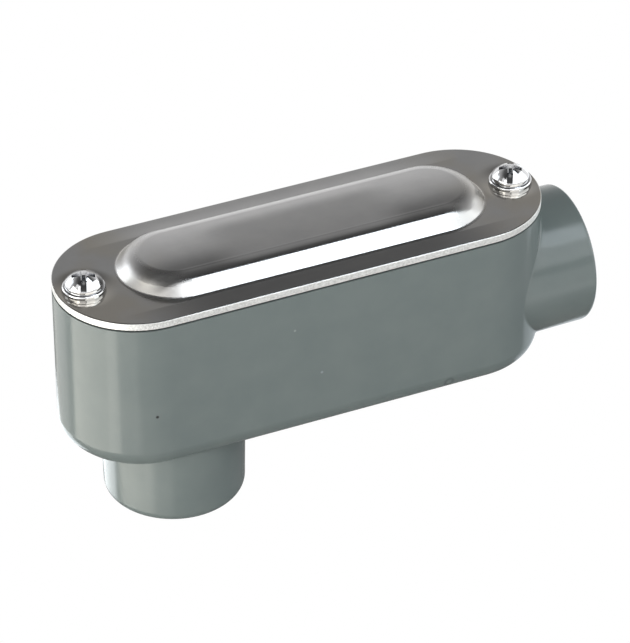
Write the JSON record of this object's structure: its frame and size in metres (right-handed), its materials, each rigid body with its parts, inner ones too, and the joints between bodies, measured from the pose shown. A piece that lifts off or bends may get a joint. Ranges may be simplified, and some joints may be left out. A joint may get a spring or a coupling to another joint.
{
  "type": "conduit body",
  "caption": "Elbow conduit body: long die-cast box with round ends, a threaded hub on one end and one on its back, and a stamped gasketed cover held by two screws.",
  "frame": {"origin": "middle of the back hub's mouth, on the axis of its thread", "axes": "+X along the body to the end hub, +Z out of the cover side; the back hub opens to -Z"},
  "size_m": [0.1193, 0.036, 0.0597],
  "materials": {
    "casting_paint": "grey paint on a die-cast aluminium body, semi-gloss",
    "cover_metal": "stamped bare sheet, bright sheared edge",
    "gasket": "flat sheet, matt",
    "screw_plating": "bright zinc plate"
  },
  "bodies": {
    "casting": {"body_casting": "casting_paint"},
    "cover": {"cover": "cover_metal", "cover_gasket": "gasket"},
    "elbow_screw": {"elbow_end_screw": "screw_plating"},
    "hub_screw": {"hub_end_screw": "screw_plating"}
  },
  "joints": [
    {"name": "cover_lift", "type": "slide", "parent": "casting", "child": "cover", "axis": [0, 0, 1], "range_m": [0, 0.008]},
    {"name": "elbow_screw_turn", "type": "hinge", "parent": "cover", "child": "elbow_screw", "pos_m": [-0.0191, 0, 0.0559], "axis": [0, 0, 1], "range_deg": [0, 3630]},
    {"name": "hub_screw_turn", "type": "hinge", "parent": "cover", "child": "hub_screw", "pos_m": [0.0798, 0, 0.0559], "axis": [0, 0, 1], "range_deg": [0, 3630]}
  ],
  "couplings": [
    {"joint": "elbow_screw_turn", "follows": "cover_lift", "rad_per_m": 7915.8},
    {"joint": "hub_screw_turn", "follows": "cover_lift", "rad_per_m": 7915.8}
  ]
}
